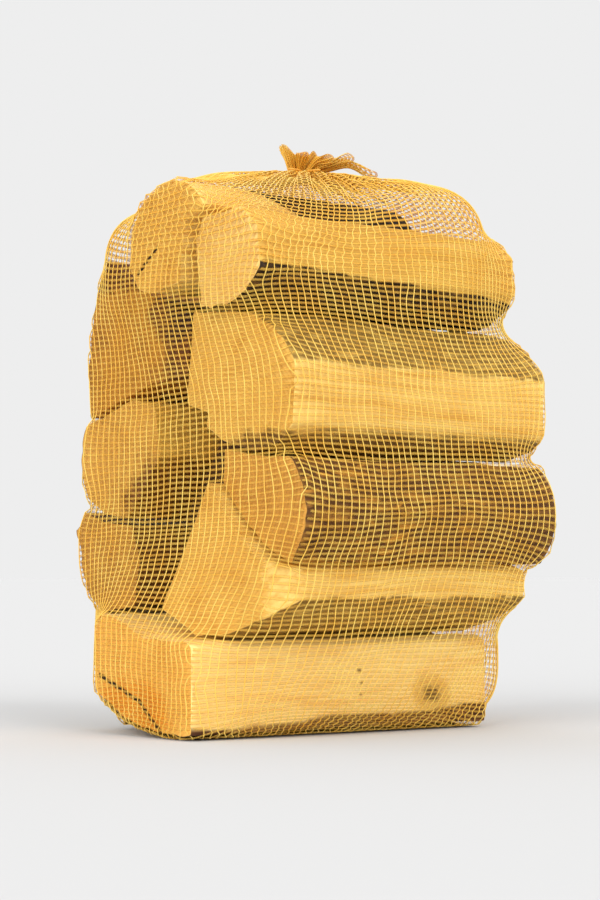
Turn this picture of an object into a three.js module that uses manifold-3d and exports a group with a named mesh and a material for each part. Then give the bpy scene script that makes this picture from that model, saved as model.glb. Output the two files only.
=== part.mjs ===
// Firewood bundle: split logs lying along X in a leno net bag that is tied shut on top.
// Millimetres, +Z up, standing on its flat base, origin at the middle of that base.

import * as THREE from "three";
import Module from "manifold-3d";
import { mergeVertices } from "three/addons/utils/BufferGeometryUtils.js";

// ---- logs: driving dimensions ----

const LOG_LENGTH = 245; // the usual length that the logs are sawn to
const BARK_STEPS = 8; // facets round a bark side
const WOOD_ROUGHNESS = 0.85;

// Each log is a straight prism. start is the x of its near sawn end and spare is how much it is
// longer than LOG_LENGTH. corners are [y, z] round its split faces, and the side from the last
// corner back to the first is bark, which bulges out by bulge.
const LOGS = [
  {
    name: "log_top_front",
    colour: 0xe3b970,
    start: -135,
    spare: 5,
    corners: [[-34, 288.2], [-28, 334], [-36, 348], [-74, 351], [-91, 337], [-93, 310]],
    bulge: 11,
  },
  {
    name: "log_top_rear",
    colour: 0xdcae62,
    start: -140,
    spare: -43,
    corners: [
      [2, 374], [20, 365], [34, 346], [36, 321], [26, 304], [10, 300],
      [-18, 306], [-22, 344], [-42, 356],
    ],
    bulge: 9,
  },
  {
    name: "log_left_upper",
    colour: 0xa9762f,
    start: -125,
    spare: -5,
    corners: [[98, 219], [50, 234], [30, 240], [-9, 243], [-12, 284], [9, 293], [36, 304], [80, 331]],
    bulge: 9,
  },
  {
    name: "log_centre",
    colour: 0xe0b264,
    start: -125,
    spare: 0,
    corners: [
      [-57, 285], [-15, 287], [-8, 224], [-30, 217], [-28, 208], [-46, 197],
      [-76, 189], [-102, 195], [-115, 206], [-116, 248],
    ],
    bulge: 8,
  },
  {
    name: "log_left_middle",
    colour: 0xd8a656,
    start: -130,
    spare: 0,
    corners: [[97, 213], [45, 230], [20, 224], [14, 190], [49, 147], [74, 150], [93, 161]],
    bulge: 7,
  },
  {
    name: "log_bark_round",
    colour: 0x5e4023,
    start: -125,
    spare: 0,
    corners: [[-112, 115], [-86, 128], [-66, 145], [-45, 171], [-47, 192], [-74, 187], [-112, 185]],
    bulge: 15,
  },
  {
    name: "log_wedge",
    colour: 0xe6bf78,
    start: -134,
    spare: -11,
    corners: [
      [-30, 67], [8, 85], [-8, 111], [-28, 147], [-40, 171], [-52, 156],
      [-88, 120], [-113, 111], [-113, 92],
    ],
    bulge: 8,
  },
  {
    name: "log_left_lower",
    colour: 0xb98540,
    start: -130,
    spare: 0,
    corners: [[101, 112], [107, 140], [97, 153], [78, 145], [44, 142], [36, 118], [42, 86], [68, 83]],
    bulge: 8,
  },
  {
    name: "log_inner",
    colour: 0x4a3019,
    start: -84,
    spare: -45,
    corners: [
      [-20, 152], [-34, 180], [-34, 192], [-20, 203], [1, 213], [9, 194],
      [38, 154], [39, 145], [32, 118], [28, 96], [14, 90], [-3, 112],
    ],
    bulge: 3,
  },
  {
    name: "log_bottom",
    colour: 0xe8bd76,
    start: -165,
    spare: 9,
    aside: -60,
    turn: -6,
    corners: [[0, 4], [0, 61], [8, 65], [56, 65.5], [80, 76], [106, 82], [117, 73], [118, 30]],
    bulge: 10,
  },
  {
    name: "log_back_bottom",
    colour: 0x9a7038,
    start: -120,
    spare: 0,
    corners: [[64, 4], [62, 68], [74, 78], [94, 88]],
    bulge: 16,
  },
];

// ---- net bag: driving dimensions ----

const NET_GAP = 8; // from a log's corner to the outside of the net
const NET_WALL = 1.2;
const NET_LEAN_ABOVE = 0.5; // how far the stretched net draws in for each mm above a log
const NET_LEAN_BELOW = 0.2; // the same, for each mm below a log
const WIDEST_LEAN = 0.2; // cosine of the widest angle at which one ray's reach limits another's radius
const NET_SIDES = 60; // meridians
const SLICE_RAYS = 4; // tried within each meridian's slice
const EDGE_STEPS = 4; // points taken along each edge of a log
const NET_COLOUR = 0xf0b83a;
const NET_ROUGHNESS = 0.6;
const BASE_ROUNDING = 6; // height over which the base turns up into the walls
const BASE_STEPS = 3;
const SHOULDER_HEIGHT = 344; // walls below, shoulders above
const TOP_HEIGHT = 390; // where the shoulders meet the neck
const SHOULDER_SQUARENESS = 6; // 2 would be an ellipse, more is squarer
const SHOULDER_STEPS = 6;
const WALL_STEPS = 20;
const NECK_RADIUS = 12;
const NECK_HEIGHT = 7; // the straight stretch that the drawstring holds
const FRILL_RADIUS = 31;
const FRILL_HEIGHT = 11; // of the lowest lobe, above the neck
const FRILL_WAVE = 8; // added by the highest lobe
const FRILL_RIPPLE = 5; // the frill's folds, in and out
const FRILL_FOLDS = 7;
const FRILL_STEPS = 3;
const FRILL_FLARE = 1.5; // 1 would be a straight cone, more opens later
const FRILL_HIGH_SIDE = 200; // degrees from +X, where the highest lobe stands

// ---- drawstring: driving dimensions ----

const TAPE_CLEARANCE = 0.5;
const TAPE_THICKNESS = 2.6;
const TAPE_WIDTH = 4.6;
const KNOT_RADIUS = 5;
const TAIL_LENGTH = 26;
const TAIL_SPREAD = 24; // degrees, each tail from the knot's direction
const KNOT_STANDS_OUT = 3; // from the ring to the knot's middle
const KNOT_BEARING = 228; // degrees from +X
const RING_SIDES = 32;
const KNOT_SIDES = 12;
const KNOT_RINGS = 8;
const WELD = 1e-4; // vertices this near to each other are one
const TAPE_COLOUR = 0xe9a52c;
const TAPE_ROUGHNESS = 0.55;

const radians = THREE.MathUtils.degToRad;

function finish(name, geometry, colour, roughness) {
  const material = new THREE.MeshStandardMaterial({ color: colour, roughness, metalness: 0 });
  const mesh = new THREE.Mesh(geometry, material);
  mesh.name = name;
  return mesh;
}

// ---- logs ----

// The outline of a log's end: straight split faces, and one arched bark side.
function logOutline({ corners, bulge }) {
  const outline = new THREE.Shape();
  corners.forEach(([y, z], index) => {
    if (index === 0) outline.moveTo(y, z);
    else outline.lineTo(y, z);
  });
  const first = new THREE.Vector2(...corners[0]);
  const last = new THREE.Vector2(...corners[corners.length - 1]);
  const middle = first.clone().add(last).multiplyScalar(0.5);
  const centre = new THREE.Vector2();
  corners.forEach(([y, z]) => centre.add(new THREE.Vector2(y, z)));
  centre.divideScalar(corners.length);
  const along = first.clone().sub(last).normalize();
  const outward = new THREE.Vector2(-along.y, along.x);
  if (outward.dot(middle.clone().sub(centre)) < 0) outward.negate();
  const crown = middle.addScaledVector(outward, 2 * bulge);
  outline.quadraticCurveTo(crown.x, crown.y, first.x, first.y);
  return outline;
}

function makeLog(log) {
  const depth = LOG_LENGTH + log.spare;
  const settings = { depth, bevelEnabled: false, curveSegments: BARK_STEPS };
  const geometry = new THREE.ExtrudeGeometry(logOutline(log), settings);
  const mesh = finish(log.name, geometry, log.colour, WOOD_ROUGHNESS);
  mesh.rotation.set(Math.PI / 2, Math.PI / 2, 0); // the outline's plane becomes YZ, its depth X
  const place = new THREE.Group();
  place.position.set(log.start, log.aside ?? 0, 0);
  place.rotation.z = radians(log.turn ?? 0);
  place.add(mesh);
  return place;
}

// ---- net bag ----

// Points on every edge of every log's faces, where the log lies.
function logPoints(logs) {
  const points = [];
  logs.updateMatrixWorld(true);
  logs.traverse((object) => {
    if (!object.isMesh) return;
    const positions = object.geometry.getAttribute("position");
    const corners = Array.from({ length: positions.count }, (_, index) =>
      object.localToWorld(new THREE.Vector3().fromBufferAttribute(positions, index)),
    );
    corners.forEach((corner, index) => {
      const next = corners[index % 3 === 2 ? index - 2 : index + 1];
      for (let step = 0; step < EDGE_STEPS; step += 1) {
        points.push(corner.clone().lerp(next, step / EDGE_STEPS));
      }
    });
  });
  return points;
}

// The taut loop of net round the logs at one height: its radius along each meridian, from axis.
// A log's corner pushes the net out, and pushes less the further it is above or below the loop.
// Each meridian takes the largest radius of its own slice, so that no chord cuts a corner.
function tautLoop(points, axis, height, gap) {
  const count = NET_SIDES * SLICE_RAYS;
  const rays = Array.from({ length: count }, (_, index) => (2 * Math.PI * index) / count);
  const reach = rays.map((angle) => {
    let furthest = 0;
    for (const point of points) {
      const out = (point.x - axis.x) * Math.cos(angle) + (point.y - axis.y) * Math.sin(angle);
      const above = height - point.z;
      const drawn = above > 0 ? NET_LEAN_ABOVE * above : -NET_LEAN_BELOW * above;
      furthest = Math.max(furthest, out - drawn);
    }
    return furthest + gap;
  });
  const radii = rays.map((angle) => {
    let radius = Infinity;
    rays.forEach((other, index) => {
      const lean = Math.cos(other - angle);
      if (lean > WIDEST_LEAN) radius = Math.min(radius, reach[index] / lean);
    });
    return radius;
  });
  return Array.from({ length: NET_SIDES }, (_, side) => {
    let radius = 0;
    for (let ray = -SLICE_RAYS / 2; ray <= SLICE_RAYS / 2; ray += 1) {
      radius = Math.max(radius, radii[(side * SLICE_RAYS + ray + count) % count]);
    }
    return radius;
  });
}

// One skin of the bag, inset from its outside: loops from the base up to the frill's rim.
function skinLoops(points, axis, inset) {
  const gap = NET_GAP - inset;
  const loops = [];
  const addLoop = (height, radiusAt, heightAt = () => height) => {
    const loop = [];
    for (let side = 0; side < NET_SIDES; side += 1) {
      const angle = (2 * Math.PI * side) / NET_SIDES;
      const radius = radiusAt(side, angle);
      const x = axis.x + radius * Math.cos(angle);
      const y = axis.y + radius * Math.sin(angle);
      loop.push(new THREE.Vector3(x, y, heightAt(angle)));
    }
    loops.push(loop);
  };
  for (let step = 0; step <= BASE_STEPS; step += 1) {
    const turn = (Math.PI / 2) * (step / BASE_STEPS);
    const height = inset + (BASE_ROUNDING - inset) * (1 - Math.cos(turn));
    const loop = tautLoop(points, axis, height, gap);
    const tuck = BASE_ROUNDING * (1 - Math.sin(turn));
    addLoop(height, (side) => loop[side] - tuck);
  }
  for (let step = 1; step <= WALL_STEPS; step += 1) {
    const height = BASE_ROUNDING + ((SHOULDER_HEIGHT - BASE_ROUNDING) * step) / WALL_STEPS;
    const loop = tautLoop(points, axis, height, gap);
    addLoop(height, (side) => loop[side]);
  }
  const neck = NECK_RADIUS - inset;
  const top = TOP_HEIGHT - inset;
  for (let step = 1; step <= SHOULDER_STEPS; step += 1) {
    const turn = (Math.PI / 2) * (step / SHOULDER_STEPS);
    const rise = Math.sin(turn) ** (2 / SHOULDER_SQUARENESS);
    const height = SHOULDER_HEIGHT + (top - SHOULDER_HEIGHT) * rise;
    const loop = tautLoop(points, axis, height, gap);
    const spread = Math.max(Math.cos(turn), 0) ** (2 / SHOULDER_SQUARENESS);
    addLoop(height, (side) => neck + (loop[side] - neck) * (step < SHOULDER_STEPS ? spread : 0));
  }
  const frillFoot = TOP_HEIGHT + NECK_HEIGHT;
  for (let step = 0; step <= FRILL_STEPS; step += 1) {
    const share = step / FRILL_STEPS;
    const ripple = (angle) => FRILL_RIPPLE * share * Math.cos(FRILL_FOLDS * angle);
    const wave = (angle) => FRILL_WAVE * 0.5 * (1 + Math.cos(angle - radians(FRILL_HIGH_SIDE)));
    addLoop(
      frillFoot,
      (side, angle) => neck + (FRILL_RADIUS - NECK_RADIUS) * share ** FRILL_FLARE + ripple(angle),
      (angle) => frillFoot + (FRILL_HEIGHT + wave(angle)) * share,
    );
  }
  return loops;
}

// Joins the outside and the inside at the frill's rim, and closes each at the base.
function makeNetBag(points, axis) {
  const outside = skinLoops(points, axis, 0);
  const inside = skinLoops(points, axis, NET_WALL).reverse();
  const loops = [...outside, ...inside];
  const vertices = loops.flat();
  const under = vertices.push(new THREE.Vector3(axis.x, axis.y, 0)) - 1;
  const over = vertices.push(new THREE.Vector3(axis.x, axis.y, NET_WALL)) - 1;
  const lastLoop = (loops.length - 1) * NET_SIDES;
  const triangles = [];
  for (let side = 0; side < NET_SIDES; side += 1) {
    const next = (side + 1) % NET_SIDES;
    triangles.push(under, next, side);
    triangles.push(over, lastLoop + side, lastLoop + next);
    for (let loop = 0; loop < loops.length - 1; loop += 1) {
      const low = loop * NET_SIDES;
      const high = low + NET_SIDES;
      triangles.push(low + side, low + next, high + next);
      triangles.push(low + side, high + next, high + side);
    }
  }
  const geometry = new THREE.BufferGeometry().setFromPoints(vertices);
  geometry.setIndex(triangles);
  return finish("net_bag", geometry, NET_COLOUR, NET_ROUGHNESS);
}

// ---- drawstring ----

async function joinSolids(geometries) {
  const wasm = await Module();
  wasm.setup();
  const solids = geometries.map((geometry) => {
    const bare = geometry.clone();
    bare.deleteAttribute("normal");
    bare.deleteAttribute("uv");
    const merged = mergeVertices(bare, WELD);
    const vertProperties = new Float32Array(merged.getAttribute("position").array);
    const triVerts = new Uint32Array(merged.getIndex().array);
    return new wasm.Manifold(new wasm.Mesh({ numProp: 3, vertProperties, triVerts }));
  });
  const joined = solids.reduce((sum, solid) => sum.add(solid)).getMesh();
  const geometry = new THREE.BufferGeometry();
  geometry.setAttribute("position", new THREE.BufferAttribute(joined.vertProperties, 3));
  geometry.setIndex(new THREE.BufferAttribute(joined.triVerts, 1));
  return geometry;
}

// A flat ring of tape round the neck, with its knot and two tails on the front left.
async function makeDrawstring(axis) {
  const inner = NECK_RADIUS + TAPE_CLEARANCE;
  const outer = inner + TAPE_THICKNESS;
  const low = TOP_HEIGHT + TAPE_CLEARANCE;
  const high = low + TAPE_WIDTH;
  const section = [[inner, low], [outer, low], [outer, high], [inner, high], [inner, low]];
  const profile = section.map((place) => new THREE.Vector2(...place));
  const ring = new THREE.LatheGeometry(profile, RING_SIDES);
  ring.rotateX(Math.PI / 2);
  const knot = new THREE.SphereGeometry(KNOT_RADIUS, KNOT_SIDES, KNOT_RINGS);
  knot.translate(outer + KNOT_STANDS_OUT, 0, low + KNOT_RADIUS);
  const tails = [-1, 1].map((way) => {
    const tail = new THREE.BoxGeometry(TAIL_LENGTH, TAPE_WIDTH, TAPE_THICKNESS);
    tail.translate(TAIL_LENGTH / 2, 0, 0);
    tail.rotateZ(way * radians(TAIL_SPREAD));
    tail.translate(outer + KNOT_RADIUS, 0, low + TAPE_THICKNESS);
    return tail;
  });
  const geometry = await joinSolids([ring, knot, ...tails]);
  const mesh = finish("drawstring", geometry, TAPE_COLOUR, TAPE_ROUGHNESS);
  mesh.position.set(axis.x, axis.y, 0);
  mesh.rotation.z = radians(KNOT_BEARING);
  return mesh;
}

// ---- assembly ----

const logs = new THREE.Group();
LOGS.forEach((log) => logs.add(makeLog(log)));
const logBox = new THREE.Box3().setFromObject(logs, true);
const axis = logBox.getCenter(new THREE.Vector3());

const bundle = new THREE.Group();
bundle.add(logs);
bundle.add(makeNetBag(logPoints(logs), axis));
bundle.add(await makeDrawstring(axis));

const bundleBox = new THREE.Box3().setFromObject(bundle, true);
const middle = bundleBox.getCenter(new THREE.Vector3());
bundle.position.set(-middle.x, -middle.y, -bundleBox.min.z);

const group = new THREE.Group();
group.add(bundle);

export default group;
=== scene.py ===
import math

import bpy
import numpy as np
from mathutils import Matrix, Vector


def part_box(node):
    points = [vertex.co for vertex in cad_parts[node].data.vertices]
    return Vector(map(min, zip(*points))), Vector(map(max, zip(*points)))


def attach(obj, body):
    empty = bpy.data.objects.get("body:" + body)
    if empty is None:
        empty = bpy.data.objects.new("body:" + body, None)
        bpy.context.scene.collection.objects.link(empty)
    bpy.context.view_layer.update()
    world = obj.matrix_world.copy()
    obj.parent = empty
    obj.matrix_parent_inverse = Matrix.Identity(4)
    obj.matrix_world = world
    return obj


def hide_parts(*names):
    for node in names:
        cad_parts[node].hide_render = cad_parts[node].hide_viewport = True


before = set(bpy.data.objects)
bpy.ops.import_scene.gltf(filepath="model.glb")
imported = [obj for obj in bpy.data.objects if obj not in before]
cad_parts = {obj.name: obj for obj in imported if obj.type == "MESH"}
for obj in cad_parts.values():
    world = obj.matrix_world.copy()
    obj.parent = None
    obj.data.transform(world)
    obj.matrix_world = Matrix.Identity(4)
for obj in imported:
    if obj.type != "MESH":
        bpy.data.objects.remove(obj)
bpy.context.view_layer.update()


# ---- studio ----
# A seamless pale floor and an equally pale surround, so that no horizon shows. A broad soft sun stands
# over the viewer's right shoulder, with weaker ones at the left and behind.

CAMERA_AWAY = 1.68
CAMERA_HEIGHT = 0.110
CAMERA_TURN = math.radians(-43)
CAMERA_TILT = math.radians(2.95)
CAMERA_ASIDE = -0.0025
LENS = 94.8
FLOOR_REACH = 30.0
FLOOR_TONE = 0.622
SURROUND = 0.855


def paint(red, green, blue):
    """A paint colour given in 0 to 255 steps, as the linear colour that a shader takes."""
    share = np.array([red, green, blue], float) / 255
    linear = np.where(share > 0.04045, ((share + 0.055) / 1.055) ** 2.4, share / 12.92)
    return (*linear.tolist(), 1.0)


camera = bpy.data.objects.new("camera", bpy.data.cameras.new("camera"))
bpy.context.scene.collection.objects.link(camera)
camera.data.lens = LENS
camera.data.sensor_width = 36
camera.data.clip_end = 80
camera.location = (
    math.sin(CAMERA_TURN) * CAMERA_AWAY + math.cos(CAMERA_TURN) * CAMERA_ASIDE,
    -math.cos(CAMERA_TURN) * CAMERA_AWAY + math.sin(CAMERA_TURN) * CAMERA_ASIDE,
    CAMERA_HEIGHT,
)
camera.rotation_euler = (math.radians(90) + CAMERA_TILT, 0, CAMERA_TURN)
bpy.context.scene.camera = camera


def make_sun(name, strength, softness, bearing, climb):
    """A far light whose disc is softness degrees wide, at a compass bearing and a climb above the floor."""
    sun = bpy.data.objects.new(name, bpy.data.lights.new(name, "SUN"))
    sun.data.energy = strength
    sun.data.angle = math.radians(softness)
    sun.rotation_euler = (math.radians(90 - climb), 0, math.radians(bearing))
    bpy.context.scene.collection.objects.link(sun)


make_sun("key_sun", 1.5, 50, 0, 26)
make_sun("left_sun", 1.7, 50, -78, 24)
make_sun("back_sun", 0.5, 70, 150, 40)

world = bpy.data.worlds.new("surround")
bpy.context.scene.world = world
world.use_nodes = True
world.node_tree.nodes["Background"].inputs["Color"].default_value = (SURROUND, SURROUND, SURROUND, 1)
bpy.context.scene.view_settings.view_transform = "Standard"

floor_mesh = bpy.data.meshes.new("floor")
floor_mesh.from_pydata(
    [(x * FLOOR_REACH, y * FLOOR_REACH, 0) for x, y in ((-1, -1), (1, -1), (1, 1), (-1, 1))],
    [],
    [(0, 1, 2, 3)],
)
floor = bpy.data.objects.new("floor", floor_mesh)
bpy.context.scene.collection.objects.link(floor)
floor_paint = bpy.data.materials.new("floor_paint")
floor_paint.use_nodes = True
floor_shader = floor_paint.node_tree.nodes["Principled BSDF"]
floor_shader.inputs["Base Color"].default_value = (FLOOR_TONE, FLOOR_TONE, FLOOR_TONE, 1)
floor_shader.inputs["Roughness"].default_value = 1.0
floor_shader.inputs["Specular IOR Level"].default_value = 0.0
floor.data.materials.append(floor_paint)


# ---- logs ----
# Split firewood of mixed pale softwood. Each log is a wedge of a round stem: sawn across at both ends,
# split along the grain on two or three sides, and still in its bark on the side that was outermost.

mm = 0.001
AROUND = 168
ALONG = 110
CAP_RINGS = 14
CAP_SHRINK = (0.02, 0.985)
END_MARGIN = 0.6 * mm
BARK_EDGE = 1.2 * mm
BARK_WANDER = 3.0 * mm
SHARPEST_BARK_TURN = math.radians(20)
SHARPEST_SMOOTH_TURN = math.radians(50)
FIBRE_RISE = 0.35
WAVE_RISE = 0.6
SPLIT_SINK = 0.3
SCALE_RISE = 0.8
RIDGE_RISE = 0.8
BARK_SINK = 0.4
SPLINTER_RAGGED = 0.12


def log_frame(name):
    """The log's outline and axis, from its CAD solid: a prism whose far end is its near end moved along."""
    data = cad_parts[name].data
    points = np.empty(len(data.vertices) * 3, np.float32)
    data.vertices.foreach_get("co", points)
    points = np.unique(np.round(points.reshape(-1, 3).astype(float), 6), axis=0)
    is_far = points[:, 0] > points[:, 0].mean()
    near, far = points[~is_far], points[is_far]
    run = far.mean(0) - near.mean(0)
    length = float(np.linalg.norm(run))
    along = run / length
    across = np.array([-along[1], along[0], 0.0])
    middle = (near.min(0) + near.max(0)) / 2
    flat = np.stack([(near - middle) @ across, near[:, 2] - middle[2]], 1)
    flat = flat[np.argsort(np.arctan2(flat[:, 1], flat[:, 0]))]
    return {"outline": flat, "origin": middle, "along": along, "across": across, "length": length}


def in_place(place, flat, reach):
    """Points given across, up and along a log, as places in the model."""
    return (
        place["origin"]
        + flat[..., :1] * place["across"]
        + flat[..., 1:] * np.array([0, 0, 1.0])
        + np.asarray(reach)[..., None] * place["along"]
    )


def walked_round(outline):
    """The outline closed on itself, and the distance walked to each of its points."""
    closed = np.vstack([outline, outline[:1]])
    steps = np.linalg.norm(np.diff(closed, axis=0), axis=1)
    return closed, np.concatenate([[0], np.cumsum(steps)])


def resample(outline, count):
    """The closed outline at count equal steps of its own length."""
    closed, walked = walked_round(outline)
    at = np.linspace(0, walked[-1], count, endpoint=False)
    return np.stack([np.interp(at, walked, column) for column in closed.T], 1)


def bark_reach(outline, at):
    """How far inside the bark each place at, walked round the outline, lies; below 0 is outside it. The
    bark is the longest stretch of the outline that has no sharp turn."""
    edge = np.roll(outline, -1, 0) - outline
    heading = np.arctan2(edge[:, 1], edge[:, 0])
    turn = np.abs((heading - np.roll(heading, 1) + np.pi) % (2 * np.pi) - np.pi)
    corners = np.nonzero(turn > SHARPEST_BARK_TURN)[0]
    gaps = np.diff(np.append(corners, corners[0] + len(outline)))
    _, walked = walked_round(outline)
    laps = np.append(walked[:-1], walked[:-1] + walked[-1])
    start = laps[corners[gaps.argmax()]]
    stop = laps[corners[gaps.argmax()] + gaps.max()]
    half = (stop - start) / 2
    off = np.abs((at - (start + stop) / 2 + walked[-1] / 2) % walked[-1] - walked[-1] / 2)
    return half - off


def lumps(rows, columns, cells_down, cells_round, seed):
    """Smooth noise from -1 to 1 on a grid that closes on itself round its columns: random values on a
    coarse lattice, blended between lattice points by the curve 3t^2 - 2t^3."""
    lattice = np.random.default_rng(seed).uniform(-1, 1, (cells_down + 2, cells_round))
    down = np.linspace(0, cells_down, rows)
    side = np.linspace(0, cells_round, columns, endpoint=False)
    top, left = np.floor(down).astype(int), np.floor(side).astype(int)
    t = (down - top)[:, None]
    s = (side - left)[None, :]
    t, s = t * t * (3 - 2 * t), s * s * (3 - 2 * s)
    right = (left + 1) % cells_round
    upper = lattice[top][:, left] * (1 - s) + lattice[top][:, right] * s
    lower = lattice[top + 1][:, left] * (1 - s) + lattice[top + 1][:, right] * s
    return upper * (1 - t) + lower * t


def mesh_object(name, vertices, corners, sizes):
    """A mesh from its vertices, the corners of its faces one after another, and each face's size."""
    mesh = bpy.data.meshes.new(name)
    mesh.vertices.add(len(vertices))
    mesh.vertices.foreach_set("co", np.asarray(vertices, np.float32).ravel())
    mesh.loops.add(len(corners))
    mesh.loops.foreach_set("vertex_index", np.asarray(corners, np.int32))
    mesh.polygons.add(len(sizes))
    starts = np.concatenate([[0], np.cumsum(sizes)[:-1]])
    mesh.polygons.foreach_set("loop_start", starts.astype(np.int32))
    mesh.update(calc_edges=True)
    piece = bpy.data.objects.new(name, mesh)
    bpy.context.scene.collection.objects.link(piece)
    return piece


def closed_skin(name, rings):
    """A closed skin over rings of equal count, shape (rings, round, 3): quads between neighbouring
    rings, and a fan from a middle point over the first and the last."""
    count, around, _ = rings.shape
    index = np.arange(count * around).reshape(count, around)
    onward = np.roll(index, -1, 1)
    quads = np.stack([index[:-1], onward[:-1], onward[1:], index[1:]], -1)
    first = np.stack([onward[0], index[0], np.full(around, count * around)], -1)
    last = np.stack([index[-1], onward[-1], np.full(around, count * around + 1)], -1)
    vertices = np.vstack([rings.reshape(-1, 3), rings[0].mean(0)[None], rings[-1].mean(0)[None]])
    corners = np.concatenate([quads.ravel(), first.ravel(), last.ravel()])
    sizes = np.concatenate([np.full(quads.size // 4, 4), np.full(2 * around, 3)])
    return mesh_object(name, vertices, corners, sizes)


def depth_in_bark(outline):
    """How far inside the bark each of AROUND equal steps round the outline lies."""
    _, walked = walked_round(outline)
    return bark_reach(outline, np.linspace(0, walked[-1], AROUND, endpoint=False))


def barked_share(outline, creep, seed):
    """1 where a log's side is bark and 0 where it is split, on the grid of its sides. The bark's edge
    wanders by smooth noise, wide and fine, and moves out by creep from the near to the far end."""
    wide = lumps(ALONG, AROUND, 7, 14, seed)
    fine = lumps(ALONG, AROUND, 30, 40, seed + 1)
    further = creep[0] + (creep[1] - creep[0]) * np.linspace(0, 1, ALONG)[:, None]
    reach = depth_in_bark(outline)[None] + further + BARK_WANDER * (0.6 * wide + 0.4 * fine)
    return np.clip(reach / BARK_EDGE + 0.5, 0, 1)


def side_rise(barked, seed):
    """How far the sides stand out from the outline: long narrow fibres and broad waves where the log is
    split, short scales and long ridges on its bark, each a layer of smooth noise in millimetres, and
    then lowered by a sink, which leaves the highest places about a millimetre proud of the CAD solid."""
    fibres = FIBRE_RISE * lumps(ALONG, AROUND, 4, AROUND // 3, seed)
    waves = WAVE_RISE * lumps(ALONG, AROUND, 3, 13, seed + 1)
    scales = SCALE_RISE * lumps(ALONG, AROUND, 22, AROUND // 5, seed + 2)
    ridges = RIDGE_RISE * lumps(ALONG, AROUND, 9, AROUND // 4, seed + 3)
    split = fibres + waves - SPLIT_SINK
    rough = scales + ridges - BARK_SINK
    return (split * (1 - barked) + rough * barked) * mm


def with_caps(sides):
    """The rings of a log's sides with the rings of its two ends: copies of the first and of the last
    ring, shrunk evenly towards its middle."""
    middle = sides.mean(1, keepdims=True)
    shrink = np.linspace(*CAP_SHRINK, CAP_RINGS)[:, None, None]
    near_cap = middle[0] + (sides[0] - middle[0]) * shrink
    far_cap = middle[-1] + (sides[-1] - middle[-1]) * shrink[::-1]
    return np.concatenate([near_cap, sides, far_cap])


def make_log(name, seed, slot, creep=(0.0, 0.0), facet=0.0):
    """A log's skin: its outline carried along its axis, roughened on its sides and closed by two sawn
    ends. The bark reaches further by creep at the near and at the far end. A splinter is broken off the
    near end's front corner: within facet of that corner, the end lies back by up to facet."""
    place = log_frame(name)
    outline = resample(place["outline"], AROUND)
    outline = (np.roll(outline, 1, 0) + 2 * outline + np.roll(outline, -1, 0)) / 4
    outward = np.roll(outline, -1, 0) - np.roll(outline, 1, 0)
    outward = np.stack([outward[:, 1], -outward[:, 0]], 1)
    outward /= np.linalg.norm(outward, axis=1)[:, None]
    barked = barked_share(place["outline"], creep, seed + 4)
    flat = with_caps(outline[None] + outward[None] * side_rise(barked, seed)[..., None])
    near_share, far_share = np.zeros((CAP_RINGS, AROUND)), np.ones((CAP_RINGS, AROUND))
    side_share = np.broadcast_to(np.linspace(0, 1, ALONG)[:, None], (ALONG, AROUND))
    share = np.concatenate([near_share, side_share, far_share])
    broken = np.clip((outline[:, 0].min() + facet - flat[..., 0]) / max(facet, mm), 0, 1)
    splinter = SPLINTER_RAGGED * lumps(len(flat), AROUND, 6, AROUND // 4, seed + 6) * broken
    reach = END_MARGIN + share * (place["length"] - 2 * END_MARGIN)
    reach = reach + facet * np.clip(broken + splinter, 0, 1) * (1 - share)
    sawn = np.concatenate([near_share + 1, np.zeros((ALONG, AROUND)), far_share])
    sawn = sawn * (1 - (broken > 0.1) * (share == 0) * (facet > 0))
    piece = closed_skin(name + "_wood", in_place(place, flat, reach))
    piece.data.set_sharp_from_angle(angle=SHARPEST_SMOOTH_TURN)
    bark = np.concatenate([0 * near_share, barked, 0 * far_share])
    for label, values, pole in (("sawn", sawn, 1), ("bark", bark, 0)):
        attribute = piece.data.attributes.new(label, "FLOAT", "POINT")
        attribute.data.foreach_set("value", np.append(values, [pole, pole]).astype(np.float32))
    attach(piece, "root")
    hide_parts(name)
    return piece


def put(tree, kind, sockets, **settings):
    """A node with its settings; each socket, by name or number, is given a value or linked to one."""
    node = tree.nodes.new(kind)
    for label, setting in settings.items():
        setattr(node, label, setting)
    for key, value in sockets.items():
        if isinstance(value, bpy.types.NodeSocket):
            tree.links.new(value, node.inputs[key])
        else:
            node.inputs[key].default_value = value
    return node.outputs


def calc(tree, operation, *values):
    """A sum on numbers, each a value or a socket."""
    return put(tree, "ShaderNodeMath", dict(enumerate(values)), operation=operation)[0]


def vector_calc(tree, operation, *values):
    """A sum on vectors, which gives a number where it is a length or a dot product."""
    outputs = put(tree, "ShaderNodeVectorMath", dict(enumerate(values)), operation=operation)
    return outputs["Value" if operation in ("LENGTH", "DOT_PRODUCT") else "Vector"]


def noise(tree, place, scale, detail, roughness=0.5):
    """Noise from 0 to 1 whose features are 1/scale long along each axis."""
    stretched = vector_calc(tree, "MULTIPLY", place, scale)
    settings = {"Vector": stretched, "Scale": 1.0, "Detail": detail, "Roughness": roughness}
    return put(tree, "ShaderNodeTexNoise", settings)[0]


def fade(tree, value, low, high):
    """0 up to low, 1 from high on, and an S-curve between them."""
    sockets = {"Value": value, "From Min": low, "From Max": high}
    return put(tree, "ShaderNodeMapRange", sockets, interpolation_type="SMOOTHSTEP")["Result"]


def mix(tree, share, first, second, blend="MIX"):
    """The first colour blended by share towards the second."""
    sockets = {0: share, 6: first, 7: second}
    return put(tree, "ShaderNodeMix", sockets, data_type="RGBA", blend_type=blend)[2]


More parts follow.
